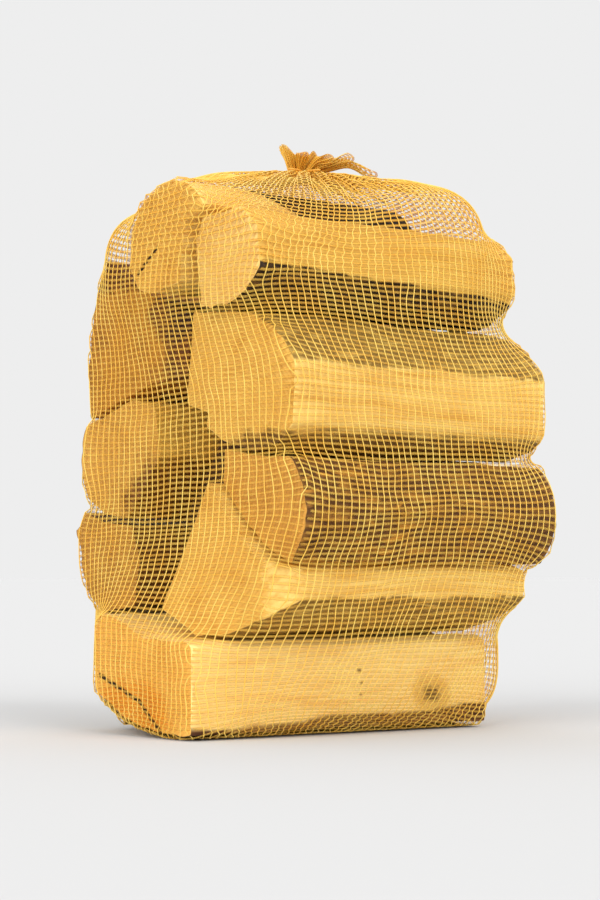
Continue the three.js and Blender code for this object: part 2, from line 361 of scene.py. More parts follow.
def new_group(name, takes, gives):
    """A shader node group; takes and gives are the names of its sockets, each with its type's name."""
    tree = bpy.data.node_groups.new(name, "ShaderNodeTree")
    for way, sockets in (("INPUT", takes), ("OUTPUT", gives)):
        for label, kind in sockets.items():
            tree.interface.new_socket(label, in_out=way, socket_type="NodeSocket" + kind)
    return tree, tree.nodes.new("NodeGroupInput").outputs, tree.nodes.new("NodeGroupOutput").inputs


def put_group(tree, group, sockets):
    """A node group placed in a material, with its own values."""
    return put(tree, "ShaderNodeGroup", sockets, node_tree=group)


def ring_lines(tree, place, pith, pitch, wander):
    """Growth rings: the distance from the pith, bent by noise, in steps of pitch; each ring darkens
    slowly and ends sharply, as late wood does."""
    spoke = vector_calc(tree, "MULTIPLY", vector_calc(tree, "SUBTRACT", place, pith), (0, 1, 1))
    bent = calc(tree, "MULTIPLY", noise(tree, place, (9, 45, 45), 2), wander)
    radius = calc(tree, "ADD", vector_calc(tree, "LENGTH", spoke), bent)
    ring = calc(tree, "FRACT", calc(tree, "DIVIDE", radius, pitch))
    return calc(tree, "MULTIPLY", fade(tree, ring, 0.35, 0.9), fade(tree, ring, 1.0, 0.92))


# Wood split along its grain: fine fibres and broader dark strands that run lengthwise, with faint rings.
split_grain, takes, gives = new_group(
    "split_grain",
    {"Vector": "Vector", "Pith": "Vector", "Pale": "Color", "Streak": "Color"},
    {"Color": "Color", "Height": "Float"},
)
fibre = noise(split_grain, takes["Vector"], (16, 620, 620), 3, 0.6)
strand = noise(split_grain, takes["Vector"], (6, 150, 150), 3, 0.6)
cloud = noise(split_grain, takes["Vector"], (9, 26, 26), 2)
rings = ring_lines(split_grain, takes["Vector"], takes["Pith"], 3.4 * mm, 12 * mm)
streaks = calc(split_grain, "MULTIPLY", fade(split_grain, strand, 0.42, 0.72), 0.75)
streaks = calc(split_grain, "MULTIPLY_ADD", rings, 0.22, streaks)
streaks = calc(split_grain, "MULTIPLY_ADD", fade(split_grain, fibre, 0.5, 0.8), 0.4, streaks)
toned = mix(split_grain, calc(split_grain, "MINIMUM", streaks, 1.0), takes["Pale"], takes["Streak"])
lighter = fade(split_grain, cloud, 0.35, 0.7)
toned = mix(split_grain, calc(split_grain, "MULTIPLY", lighter, 0.55), toned, takes["Pale"])
split_grain.links.new(toned, gives["Color"])
height = calc(split_grain, "MULTIPLY_ADD", strand, 1.4, calc(split_grain, "MULTIPLY", fibre, 0.6))
split_grain.links.new(height, gives["Height"])

# Sawn across: growth rings round the pith, slanting saw marks, blotches and coarse grit.
sawn_end, takes, gives = new_group(
    "sawn_end",
    {"Vector": "Vector", "Pith": "Vector", "Pale": "Color", "Dark": "Color"},
    {"Color": "Color", "Height": "Float"},
)
rings = ring_lines(sawn_end, takes["Vector"], takes["Pith"], 3.1 * mm, 5 * mm)
blade = put(sawn_end, "ShaderNodeMapping", {"Vector": takes["Vector"], "Rotation": (0.35, 0, 0)})[0]
saw_marks = noise(sawn_end, blade, (10, 60, 620), 2, 0.7)
grit = noise(sawn_end, takes["Vector"], (900, 900, 900), 2, 0.6)
stain = noise(sawn_end, takes["Vector"], (20, 34, 34), 3, 0.6)
tone = calc(sawn_end, "MULTIPLY", rings, 0.34)
tone = calc(sawn_end, "MULTIPLY_ADD", fade(sawn_end, stain, 0.42, 0.75), 0.5, tone)
tone = calc(sawn_end, "MULTIPLY_ADD", fade(sawn_end, saw_marks, 0.45, 0.75), 0.3, tone)
tone = calc(sawn_end, "MULTIPLY_ADD", fade(sawn_end, grit, 0.5, 0.8), 0.22, tone)
toned = mix(sawn_end, calc(sawn_end, "MINIMUM", tone, 1.0), takes["Pale"], takes["Dark"])
sawn_end.links.new(toned, gives["Color"])
height = calc(sawn_end, "MULTIPLY_ADD", grit, 0.5, calc(sawn_end, "MULTIPLY", saw_marks, 1.2))
sawn_end.links.new(height, gives["Height"])

# Bark: long plates with dark cracks between them, each plate flaking in thin layers.
bark_scales, takes, gives = new_group(
    "bark_scales",
    {"Vector": "Vector", "Dark": "Color", "Light": "Color"},
    {"Color": "Color", "Height": "Float"},
)
sockets = {"Vector": takes["Vector"], "Scale": 45.0, "Detail": 2.0}
wobble = put(bark_scales, "ShaderNodeTexNoise", sockets)["Color"]
bent = vector_calc(bark_scales, "MULTIPLY_ADD", wobble, (0.014, 0.007, 0.007), takes["Vector"])
sockets = {"Vector": vector_calc(bark_scales, "MULTIPLY", bent, (24, 135, 135)), "Scale": 1.0}
plates = put(bark_scales, "ShaderNodeTexVoronoi", sockets, feature="DISTANCE_TO_EDGE")[0]
plate = fade(bark_scales, plates, 0.02, 0.22)
layers = noise(bark_scales, bent, (13, 240, 240), 4, 0.65)
patches = noise(bark_scales, takes["Vector"], (14, 30, 30), 3, 0.6)
tone = calc(bark_scales, "MULTIPLY", fade(bark_scales, layers, 0.34, 0.72), plate)
patchy = calc(bark_scales, "MULTIPLY_ADD", fade(bark_scales, patches, 0.3, 0.65), 0.75, 0.25)
tone = calc(bark_scales, "MULTIPLY", tone, patchy)
bark_scales.links.new(mix(bark_scales, tone, takes["Dark"], takes["Light"]), gives["Color"])
height = calc(bark_scales, "MULTIPLY_ADD", layers, 1.6, calc(bark_scales, "MULTIPLY", plate, 2.2))
bark_scales.links.new(height, gives["Height"])

# A drying crack: everything nearer than its width to a shaky line, seen along the log.
drying_crack, takes, gives = new_group(
    "drying_crack",
    {"Vector": "Vector", "Start": "Vector", "End": "Vector", "Width": "Float"},
    {"Mask": "Float"},
)
wobble = noise(drying_crack, takes["Vector"], (130, 130, 130), 2)
shaken = calc(drying_crack, "MULTIPLY", calc(drying_crack, "SUBTRACT", wobble, 0.5), 5 * mm)
offset = vector_calc(drying_crack, "SUBTRACT", takes["Vector"], takes["Start"])
offset = vector_calc(drying_crack, "MULTIPLY", offset, (0, 1, 1))
offset = vector_calc(drying_crack, "ADD", offset, put(drying_crack, "ShaderNodeCombineXYZ", {"Z": shaken})[0])
line = vector_calc(drying_crack, "SUBTRACT", takes["End"], takes["Start"])
line = vector_calc(drying_crack, "MULTIPLY", line, (0, 1, 1))
share = calc(
    drying_crack,
    "DIVIDE",
    vector_calc(drying_crack, "DOT_PRODUCT", offset, line),
    vector_calc(drying_crack, "DOT_PRODUCT", line, line),
)
share = put(drying_crack, "ShaderNodeClamp", {"Value": share})[0]
foot = put(drying_crack, "ShaderNodeVectorMath", {0: line, "Scale": share}, operation="SCALE")[0]
gap = vector_calc(drying_crack, "LENGTH", vector_calc(drying_crack, "SUBTRACT", offset, foot))
core = calc(drying_crack, "MULTIPLY", takes["Width"], 0.4)
drying_crack.links.new(fade(drying_crack, gap, takes["Width"], core), gives["Mask"])

# A knot: a ragged dark eye, longer along the grain.
knot_eye, takes, gives = new_group(
    "knot_eye",
    {"Vector": "Vector", "Centre": "Vector", "Radius": "Float"},
    {"Mask": "Float"},
)
offset = vector_calc(knot_eye, "SUBTRACT", takes["Vector"], takes["Centre"])
offset = vector_calc(knot_eye, "MULTIPLY", offset, (0.7, 0.25, 1))
ragged = calc(knot_eye, "MULTIPLY", noise(knot_eye, takes["Vector"], (260, 260, 260), 2), takes["Radius"])
away = calc(knot_eye, "ADD", vector_calc(knot_eye, "LENGTH", offset), ragged)
rim = calc(knot_eye, "MULTIPLY", takes["Radius"], 1.5)
core = calc(knot_eye, "MULTIPLY", takes["Radius"], 0.8)
knot_eye.links.new(fade(knot_eye, away, rim, core), gives["Mask"])

# A patch multiplied over the colour, used both for the wood's own stains and for painted shade in the gaps
# between logs: a ragged egg round its centre, as wide as its spread along each axis.
stain_and_shade_patch, takes, gives = new_group(
    "stain_and_shade_patch",
    {"Vector": "Vector", "Centre": "Vector", "Spread": "Vector"},
    {"Mask": "Float"},
)
offset = vector_calc(stain_and_shade_patch, "SUBTRACT", takes["Vector"], takes["Centre"])
away = vector_calc(stain_and_shade_patch, "LENGTH", vector_calc(stain_and_shade_patch, "DIVIDE", offset, takes["Spread"]))
ragged = noise(stain_and_shade_patch, takes["Vector"], (40, 110, 110), 3, 0.6)
away = calc(stain_and_shade_patch, "MULTIPLY_ADD", calc(stain_and_shade_patch, "SUBTRACT", ragged, 0.5), 0.8, away)
stain_and_shade_patch.links.new(fade(stain_and_shade_patch, away, 1.2, 0.8), gives["Mask"])


def log_point(name, shares):
    """A place in a log's box, as shares of its length, depth and height."""
    low, high = (np.array(corner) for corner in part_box(name))
    return tuple((low + (high - low) * shares).tolist())


PITH_BEYOND = 1.25


def pith_of(name):
    """Where the stem's middle was: across the log from its bark, a little outside the split corner."""
    place = log_frame(name)
    outline = resample(place["outline"], AROUND)
    middle = outline.mean(0)
    pith = middle + PITH_BEYOND * (middle - outline[depth_in_bark(place["outline"]) > 0].mean(0))
    return tuple(in_place(place, pith, np.array(0.0)).tolist())


WOOD_ROUGHNESS = 0.72
WOOD_GLOSS = 0.3
KNOT_STRENGTH = 0.85
KNOT_BROWN = paint(58, 30, 12)
KNOT_RISE = -1.0
CRACK_BROWN = paint(40, 20, 8)
CRACK_RISE = -2.5
STAIN_AND_SHADE_STRENGTH = 0.9


def log_finish(name, split, sawn, bark, cracks=(), knots=(), stains_and_shade=()):
    """Split grain, with bark and sawn ends laid over it where the log's attributes say, then stains and
    patches of painted shade, knots and drying cracks. split, sawn and bark are pairs of colours."""
    material = bpy.data.materials.new(name + "_finish")
    material.use_nodes = True
    tree = material.node_tree
    shader = tree.nodes["Principled BSDF"]
    place = put(tree, "ShaderNodeTexCoord", {})["Object"]
    on_bark = put(tree, "ShaderNodeAttribute", {}, attribute_name="bark")["Fac"]
    on_end = fade(tree, put(tree, "ShaderNodeAttribute", {}, attribute_name="sawn")["Fac"], 0.3, 0.7)
    wood = {"Vector": place, "Pith": pith_of(name)}
    grain = put_group(tree, split_grain, {**wood, "Pale": split[0], "Streak": split[1]})
    scales = put_group(tree, bark_scales, {"Vector": place, "Dark": bark[0], "Light": bark[1]})
    end = put_group(tree, sawn_end, {**wood, "Pale": sawn[0], "Dark": sawn[1]})
    colour = mix(tree, on_bark, grain["Color"], scales["Color"])
    colour = mix(tree, on_end, colour, end["Color"])
    height = put(tree, "ShaderNodeMix", {0: on_bark, 2: grain["Height"], 3: scales["Height"]})[0]
    height = put(tree, "ShaderNodeMix", {0: on_end, 2: height, 3: end["Height"]})[0]
    # Stains, and patches of painted shade where a log lies in a shadowed gap, are multiplied over the colour.
    for centre, spread, tint in stains_and_shade:
        sockets = {"Vector": place, "Centre": log_point(name, centre), "Spread": spread}
        stain = put_group(tree, stain_and_shade_patch, sockets)["Mask"]
        colour = mix(tree, calc(tree, "MULTIPLY", stain, STAIN_AND_SHADE_STRENGTH), colour, tint, "MULTIPLY")
    for centre, radius in knots:
        sockets = {"Vector": place, "Centre": log_point(name, centre), "Radius": radius}
        eye = put_group(tree, knot_eye, sockets)["Mask"]
        colour = mix(tree, calc(tree, "MULTIPLY", eye, KNOT_STRENGTH), colour, KNOT_BROWN)
        height = calc(tree, "MULTIPLY_ADD", eye, KNOT_RISE, height)
    for start, stop, width in cracks:
        sockets = {"Vector": place, "Start": log_point(name, start), "End": log_point(name, stop)}
        line = put_group(tree, drying_crack, {**sockets, "Width": width})["Mask"]
        line = calc(tree, "MULTIPLY", line, on_end)
        colour = mix(tree, line, colour, CRACK_BROWN)
        height = calc(tree, "MULTIPLY_ADD", line, CRACK_RISE, height)
    tree.links.new(colour, shader.inputs["Base Color"])
    shader.inputs["Roughness"].default_value = WOOD_ROUGHNESS
    shader.inputs["Specular IOR Level"].default_value = WOOD_GLOSS
    bump = put(tree, "ShaderNodeBump", {"Strength": 0.8, "Distance": 0.5 * mm, "Height": height})["Normal"]
    tree.links.new(bump, shader.inputs["Normal"])
    return material


# Brown tint for patches that are partly the wood's own stain and partly painted shade in the gaps between
# logs.
BROWN_STAIN_AND_SHADE = paint(122, 86, 60)
# Black tint for painted shade along the underside of a log, in the gap beneath it.
BLACK_PAINTED_SHADE = paint(84, 60, 44)
RESIN_STAIN = paint(255, 216, 130)
FAINT_STAIN = paint(226, 210, 176)
PALE_SPLIT = (paint(236, 192, 90), paint(200, 142, 50))
CREAM_SPLIT = (paint(246, 212, 120), paint(214, 158, 62))
PALE_SAWN = (paint(234, 188, 90), paint(194, 134, 46))
WHITE_SAWN = (paint(244, 208, 124), paint(214, 156, 64))
TAN_SAWN = (paint(196, 136, 46), paint(136, 86, 28))
DARK_BARK = (paint(40, 24, 9), paint(132, 96, 44))
OLIVE_BARK = (paint(142, 110, 48), paint(236, 198, 102))
# Painted shade: split sides darkened to stand for the shadowed gap that they face.
SHADED_SPLIT = (paint(120, 78, 32), paint(66, 40, 16))

# Each log's shape is its finish slot, its bark's creep and its splinter's depth. Its look is pairs of
# colours, and its cracks (start, end, width), knots (centre, radius) and its stains and patches of painted
# shade (centre, spread, tint), whose places are shares of the log's box.
LOGS = {
    "log_top_front": {
        "shape": {"slot": "pale_wood", "creep": (4 * mm, -6 * mm)},
        "look": {"split": PALE_SPLIT, "sawn": WHITE_SAWN, "bark": DARK_BARK},
    },
    "log_top_rear": {
        "shape": {"slot": "pale_wood", "creep": (-60 * mm, 70 * mm)},
        "look": {
            # Painted light: the split sides are paler to make up for the shadow that the front log casts on
            # them.
            "split": (paint(255, 222, 132), paint(226, 170, 76)),
            "sawn": PALE_SAWN,
            "bark": (paint(20, 11, 5), paint(70, 46, 22)),
            "cracks": [((0, 0.88, 0.20), (0, 0.62, 0.42), 1.6 * mm)],
        },
    },
    "log_left_upper": {
        "shape": {"slot": "tan_wood"},
        "look": {
            "split": TAN_SAWN,
            "sawn": TAN_SAWN,
            "bark": DARK_BARK,
            # Brown patches on the near end and sides: partly the wood's own stain, partly painted shade for
            # the dark gap under the top logs.
            "stains_and_shade": [
                ((0, 0.02, 0.20), (0.200, 0.024, 0.100), BROWN_STAIN_AND_SHADE),
                ((0, 0.14, 0.62), (0.060, 0.028, 0.020), BROWN_STAIN_AND_SHADE),
                ((0, 0.55, 0.94), (0.060, 0.060, 0.018), BROWN_STAIN_AND_SHADE),
                ((0, 0.28, 0.0), (0.060, 0.030, 0.008), BROWN_STAIN_AND_SHADE),
            ],
        },
    },
    "log_centre": {
        "shape": {"slot": "pale_wood"},
        "look": {
            "split": CREAM_SPLIT,
            "sawn": PALE_SAWN,
            "bark": OLIVE_BARK,
            # A black patch of painted shade along the underside near the front, in the gap between logs.
            "stains_and_shade": [((0.55, 0.22, 0.0), (0.300, 0.050, 0.015), BLACK_PAINTED_SHADE)],
        },
    },
    "log_left_middle": {
        "shape": {"slot": "pale_wood"},
        "look": {
            "split": PALE_SPLIT,
            "sawn": (paint(218, 166, 74), paint(168, 114, 42)),
            "bark": DARK_BARK,
            # A brown patch of painted shade along the log's lower front edge, in the gap above the log below
            # it.
            "stains_and_shade": [((0.5, 0.08, 0.06), (0.200, 0.040, 0.042), BROWN_STAIN_AND_SHADE)],
        },
    },
    "log_bark_round": {
        "shape": {"slot": "barked_wood"},
        "look": {
            "split": PALE_SPLIT,
            "sawn": (paint(216, 160, 70), paint(166, 108, 38)),
            "bark": (paint(92, 56, 20), paint(214, 150, 56)),
            "knots": [((0.05, 0.02, 0.18), 5 * mm), ((0.50, 0.0, 0.86), 7 * mm)],
        },
    },
    "log_wedge": {
        "shape": {"slot": "pale_wood", "facet": 21 * mm},
        "look": {"split": CREAM_SPLIT, "sawn": PALE_SAWN, "bark": OLIVE_BARK},
    },
    "log_left_lower": {
        "shape": {"slot": "tan_wood"},
        "look": {
            # The split sides are painted dark as shade, for the gap beside this log.
            "split": SHADED_SPLIT,
            "sawn": (paint(200, 146, 60), paint(144, 94, 34)),
            "bark": DARK_BARK,
        },
    },
    "log_inner": {
        "shape": {"slot": "barked_wood"},
        "look": {
            "split": TAN_SAWN,
            # Painted shade: the ends are seen only through gaps, and are dark as the shade deep in the
            # bundle.
            "sawn": (paint(90, 58, 28), paint(50, 30, 14)),
            "bark": DARK_BARK,
        },
    },
    "log_bottom": {
        "shape": {"slot": "pale_wood", "creep": (3 * mm, 13 * mm)},
        "look": {
            "split": (paint(255, 224, 142), paint(240, 188, 104)),
            "sawn": (paint(244, 190, 88), paint(208, 138, 44)),
            "bark": (paint(80, 44, 18), paint(150, 98, 46)),
            "cracks": [
                ((0, 0.95, 0.46), (0.02, 0.62, 0.27), 1.9 * mm),
                ((0.01, 0.62, 0.27), (0.02, 0.42, 0.0), 1.9 * mm),
            ],
            "knots": [
                ((0.765, 0.0, 0.28), 8.5 * mm),
                ((0.525, 0.06, 0.50), 2.2 * mm),
                ((0.535, 0.06, 0.40), 2.0 * mm),
                ((0.530, 0.06, 0.30), 1.8 * mm),
            ],
            "stains_and_shade": [
                ((0, 0.70, 0.16), (0.030, 0.046, 0.022), RESIN_STAIN),
                ((0.765, 0.0, 0.28), (0.017, 0.030, 0.014), FAINT_STAIN),
            ],
        },
    },
    "log_back_bottom": {
        "shape": {"slot": "tan_wood"},
        "look": {"split": PALE_SPLIT, "sawn": PALE_SAWN, "bark": DARK_BARK},
    },
}
SEED_STEP = 10
FIRST_SEED = 3

for order, (name, log) in enumerate(LOGS.items()):
    piece = make_log(name, SEED_STEP * order + FIRST_SEED, **log["shape"])
    piece.data.materials.append(log_finish(name, **log["look"]))


# ---- net bag ----
# A tube of leno net woven from polyethylene: thin round warps run upright, locked over flat clear tapes
# of weft. It is sewn flat across the bottom and gathered shut on top, where its cut mouth stands up.

WARPS = 144
WEFT_PITCH = 3.6 * mm
LOOP_GAP = 5 * mm
OUTLINE_POINTS = 60
DRAWN_IN_ABOVE = 0.5
DRAWN_IN_BELOW = 0.2
STEEPEST_LEAN = 0.2
THREAD_CLEARANCE = 1.8 * mm
FLOOR_CLEARANCE = 0.9 * mm
BASE_ROWS = 24
SEAM_SHARE = 0.8
WALL_TOP = 0.335
CROWN_FROM = WALL_TOP - 0.02
NECK_HEIGHT = 0.388
NECK_RADIUS = 11 * mm
SHOULDER_SQUARENESS = 2.4
SLACK_SWELLS = (
    ((0.051, -0.044, 0.325), (0.058, 0.054, 0.061)),
    ((-0.045, 0.025, 0.335), (0.062, 0.050, 0.053)),
    ((-0.068, 0.052, 0.315), (0.052, 0.046, 0.052)),
    ((0.080, -0.050, 0.050), (0.046, 0.036, 0.044)),
)
SWELL_SQUARENESS = 3
SWELL_CORE = 0.2
RELAX_STEPS = 200
RELAX_SHARE = 0.45

log_places = [log_frame(name) for name in LOGS]


def taut_loops(heights, gap, count):
    """The taut outline round the logs at each height, shape (heights, count, 2). A log's point pushes
    the net out, and less the further it is above or below; the loop is the tightest that encloses them:
    along each bearing, the nearest of the straight lines that touch the points from outside."""
    points = []
    for place in log_places:
        ring = resample(place["outline"], OUTLINE_POINTS)
        points += [in_place(place, ring, np.full(OUTLINE_POINTS, run)) for run in (0.0, place["length"])]
    points = np.vstack(points)
    angles = np.linspace(0, 2 * np.pi, count, endpoint=False)
    normals = np.stack([np.cos(angles), np.sin(angles)], 1)
    above = heights[:, None] - points[None, :, 2]
    drawn = np.where(above > 0, DRAWN_IN_ABOVE * above, -DRAWN_IN_BELOW * above)
    reach = (points[None, :, :2] @ normals.T - drawn[..., None]).max(1) + gap
    lean = np.cos(angles[:, None] - angles[None, :])
    open_lean = np.where(lean > STEEPEST_LEAN, lean, np.nan)
    radius = np.nanmin(reach[:, None, :] / open_lean[None], 2)
    return radius[..., None] * normals[None]


def push_out_of_log(points, place, gap):
    """Moves each point that is in the log, or nearer to it than gap, straight out to gap: away from the
    nearest place on its outline, or off its end, or both where it is round the end's edge."""
    outline = place["outline"]
    rel = points - place["origin"]
    run = rel @ place["along"]
    flat = np.stack([rel @ place["across"], rel[:, 2]], 1)
    low, high = outline.min(0) - gap, outline.max(0) + gap
    close = (run > -gap) & (run < place["length"] + gap) & ((flat > low) & (flat < high)).all(1)
    chosen = np.nonzero(close)[0]
    if len(chosen) == 0:
        return
    flat, run = flat[chosen], run[chosen]
    following = np.roll(outline, -1, 0)
    edge = following - outline
    offset = flat[:, None] - outline[None]
    foot = np.clip((offset * edge).sum(2) / (edge**2).sum(1), 0, 1)
    away = offset - foot[..., None] * edge
    distance = np.linalg.norm(away, axis=2)
    nearest = (np.arange(len(flat)), distance.argmin(1))
    distance, away = distance[nearest], away[nearest]
    level = flat[:, 1:]
    rise = np.where(np.abs(edge[:, 1]) < 1e-12, 1e-12, edge[:, 1])
    crossing = outline[:, 0] + (level - outline[:, 1]) * edge[:, 0] / rise
    passed = ((outline[:, 1] > level) != (following[:, 1] > level)) & (flat[:, :1] < crossing)
    inside = passed.sum(1) % 2 == 1
    side = np.where(inside, -distance, distance)
    way = away / np.maximum(distance, 1e-9)[:, None] * np.where(inside, -1, 1)[:, None]
    end = np.maximum(-run, run - place["length"])
    end_way = np.where(-run > run - place["length"], -1.0, 1.0)
    apart = np.hypot(np.maximum(side, 0), np.maximum(end, 0))
    both = (side > 0) & (end > 0)
    by_side = ~both & (side >= end)
    need = np.maximum(gap - np.where(both, apart, np.where(by_side, side, end)), 0)
    span = np.maximum(apart, 1e-9)
    move_side = need * np.where(both, np.maximum(side, 0) / span, by_side)
    move_end = need * np.where(both, np.maximum(end, 0) / span, ~both & ~by_side)
    shift = way * move_side[:, None]
    points[chosen] += (
        shift[:, :1] * place["across"]
        + shift[:, 1:] * np.array([0, 0, 1.0])
        + (move_end * end_way)[:, None] * place["along"]
    )


def push_out_of_swell(points, middle, radii):
    """Where the net is slack and stands by itself, it stays outside a squarish egg that fills the swell:
    a point inside, but not in its core, moves straight away from the egg's middle to its surface."""
    rel = (points - middle) / radii
    size = (np.abs(rel) ** SWELL_SQUARENESS).sum(1) ** (1 / SWELL_SQUARENESS)
    inner = (size < 1) & (size > SWELL_CORE)
    points[inner] = middle + rel[inner] / size[inner][:, None] * radii


def keep_clear(surface):
    """The surface lifted off the floor and pushed out of every swell and of every log."""
    points = surface.reshape(-1, 3)
    points[:, 2] = np.maximum(points[:, 2], FLOOR_CLEARANCE)
    for middle, radii in SLACK_SWELLS:
        push_out_of_swell(points, np.array(middle), np.array(radii))
    for place in log_places:
        push_out_of_log(points, place, THREAD_CLEARANCE)
    return points.reshape(surface.shape)


def shoulder_rows(crown):
    """The rows from the top of the wall to the neck, evenly spaced along the squarish quarter round
    (1 - inward)^n + upward^n = 1, n being the shoulder's squareness."""
    reach = np.linalg.norm(crown, axis=1).mean() - NECK_RADIUS
    rise = NECK_HEIGHT - WALL_TOP
    fine = np.linspace(0, np.pi / 2, 400)
    inward = 1 - np.cos(fine) ** (2 / SHOULDER_SQUARENESS)
    upward = np.sin(fine) ** (2 / SHOULDER_SQUARENESS)
    walked = np.concatenate([[0], np.cumsum(np.hypot(np.diff(inward) * reach, np.diff(upward) * rise))])
    at = np.linspace(0, walked[-1], int(walked[-1] / WEFT_PITCH) + 1)[1:]
    round_neck = crown / np.linalg.norm(crown, axis=1)[:, None] * NECK_RADIUS
    rows = []
    for inner, climb in zip(np.interp(at, walked, inward), np.interp(at, walked, upward)):
        loop = crown + (round_neck - crown) * inner
        rows.append(np.column_stack([loop, np.full(len(loop), WALL_TOP + rise * climb)]))
    return rows


def base_rows(foot):
    """The rows under the logs, spread evenly between the straight seam and the foot of the wall."""
    seam = np.column_stack([foot[:, 0] * SEAM_SHARE, np.zeros(WARPS), np.full(WARPS, FLOOR_CLEARANCE)])
    return seam + (foot - seam) * np.linspace(0, 1, BASE_ROWS, endpoint=False)[:, None, None]


def bag_surface():
    """The net's surface, shape (rows, warps, 3), from the seam to the neck. Each row starts as the taut
    loop round the logs at its height, then all relax together: every crossing moves to the mean of its
    neighbours, as in a stretched net, and is pushed back out of the logs that it meets."""
    heights = np.linspace(FLOOR_CLEARANCE, WALL_TOP, int(WALL_TOP / WEFT_PITCH))
    walls = taut_loops(heights, LOOP_GAP, 2 * WARPS)
    rows = [np.column_stack([loop, np.full(len(loop), z)]) for loop, z in zip(walls, heights)]
    rows += shoulder_rows(walls[-1])
    surface = np.stack([resample(row, WARPS) for row in rows])
    surface = np.concatenate([base_rows(surface[0]), surface])
    for _ in range(RELAX_STEPS):
        inner = surface[1:-1]
        round_mean = (np.roll(inner, 1, 1) + np.roll(inner, -1, 1)) / 2
        up_mean = (surface[2:] + surface[:-2]) / 2
        drift = RELAX_SHARE * (round_mean - inner) + RELAX_SHARE * (up_mean - inner)
        surface[1:-1] = keep_clear(inner + drift)
    return surface


WIDE_SLIDE = 0.9
FINE_SLIDE_ROUND = 0.3
FINE_SLIDE_UP = 0.25


def wander(surface, seed):
    """Threads are never evenly spaced: each crossing slides along its row, and then along its warp, by
    smooth noise, wide and fine, measured in threads."""
    rows, warps, _ = surface.shape
    row, warp = np.arange(rows)[:, None], np.arange(warps)[None, :]
    wide = WIDE_SLIDE * lumps(rows, warps, rows // 14, 12, seed)
    fine = FINE_SLIDE_ROUND * lumps(rows, warps, rows // 4, 48, seed + 1)
    at = warp + (wide + fine)
    low = np.floor(at).astype(int)
    t = (at - low)[..., None]
    surface = surface[row, low % warps] * (1 - t) + surface[row, (low + 1) % warps] * t
    wide = WIDE_SLIDE * lumps(rows, warps, rows // 14, 9, seed + 2)
    fine = FINE_SLIDE_UP * lumps(rows, warps, rows // 3, 30, seed + 3)
    at = np.clip(row + (wide + fine), 0, rows - 1.001)
    low = np.floor(at).astype(int)
    t = (at - low)[..., None]
    return surface[low, warp] * (1 - t) + surface[low + 1, warp] * t


def directions(surface):
    """Unit steps round and up the net, and its outward normal, at every crossing."""
    around = np.roll(surface, -1, 1) - np.roll(surface, 1, 1)
    upward = np.gradient(surface, axis=0)
    around /= np.maximum(np.linalg.norm(around, axis=2), 1e-9)[..., None]
    upward /= np.maximum(np.linalg.norm(upward, axis=2), 1e-9)[..., None]
    outward = np.cross(around, upward)
    outward /= np.maximum(np.linalg.norm(outward, axis=2), 1e-9)[..., None]
    return around, upward, outward


SLACK_SHARE = 0.22
SLACK_ON_TOP = (0.300, 0.336)
SLACK_BELOW = (0.028, 0.010)
EVEN_SLACK = 0.75
PATCHY_SLACK = 0.8


def slack_on_top(surface):
    """How slack the net is over the logs, from 0 to 1, rising evenly with its height."""
    return np.clip((surface[..., 2] - SLACK_ON_TOP[0]) / (SLACK_ON_TOP[1] - SLACK_ON_TOP[0]), 0, 1)


def draw_in_cells(surface, seed):
    """Where the net is slack, its square cells draw in to diamonds: neighbouring crossings move along
    their row to opposite sides, by a share of the thread spacing that noise makes patchy."""
    rows, warps, _ = surface.shape
    foot = (surface[..., 2] - SLACK_BELOW[0]) / (SLACK_BELOW[1] - SLACK_BELOW[0])
    slack = slack_on_top(surface) + np.clip(foot, 0, 1)
    patches = np.clip(EVEN_SLACK + PATCHY_SLACK * lumps(rows, warps, rows // 10, 12, seed), 0, 1)
    sides = (-1.0) ** (np.arange(rows)[:, None] + np.arange(warps)[None, :])
    step = (np.roll(surface, -1, 1) - np.roll(surface, 1, 1)) / 2
    return surface + step * (SLACK_SHARE * slack * patches * sides)[..., None]


PLEATS = 19
PLEAT_HEIGHT = 5 * mm
PLEAT_TUCK = 1.05
PLEAT_WANDER = 1.4
PLEAT_START = 14 * mm
PLEAT_REACH = 95 * mm
PLEAT_FADE = 60 * mm


def add_pleats(surface, seed):
    """Near the neck the spare width stands in ridges that run outwards: each crossing is lifted by a
    rounded cosine of its bearing from the neck, and slides by the sine of twice that, so that the
    ridges' sides fold under."""
    middle = surface[-1].mean(0)
    rel = surface - middle
    away = np.hypot(rel[..., 0], rel[..., 1])
    turn = np.arctan2(rel[..., 1], rel[..., 0])
    rows, warps = away.shape
    phase = PLEATS * turn + PLEAT_WANDER * lumps(rows, warps, 4, 9, seed)
    grow = np.clip((away - NECK_RADIUS) / PLEAT_START, 0, 1)
    dwindle = np.clip((PLEAT_REACH - away) / PLEAT_FADE, 0, 1)
    swell = grow * dwindle**1.5 * (surface[..., 2] > CROWN_FROM)
    _, _, outward = directions(surface)
    lifted = surface + outward * (PLEAT_HEIGHT * swell * (0.5 + 0.5 * np.cos(phase)) ** 1.5)[..., None]
    nudge = PLEAT_TUCK / PLEATS * np.sin(2 * phase) * swell
    x = rel[..., 0] * np.cos(nudge) - rel[..., 1] * np.sin(nudge)
    y = rel[..., 0] * np.sin(nudge) + rel[..., 1] * np.cos(nudge)
    lifted[..., 0] += x - rel[..., 0]
    lifted[..., 1] += y - rel[..., 1]
    return lifted


NECK_FOLDS = 12
NECK_PINCH = 0.72
NECK_FOLD_REACH = 24 * mm


def neck_turns(surface):
    """Each warp's bearing at the neck."""
    first = math.atan2(surface[-1, 0, 1], surface[-1, 0, 0])
    return first + np.linspace(0, 2 * np.pi, WARPS, endpoint=False)


def neck_phase(turn):
    """Where in a fold each warp lies, as an angle; the folds are unevenly wide."""
    return NECK_FOLDS * turn + 0.9 * np.cos(5 * turn + 1.0)


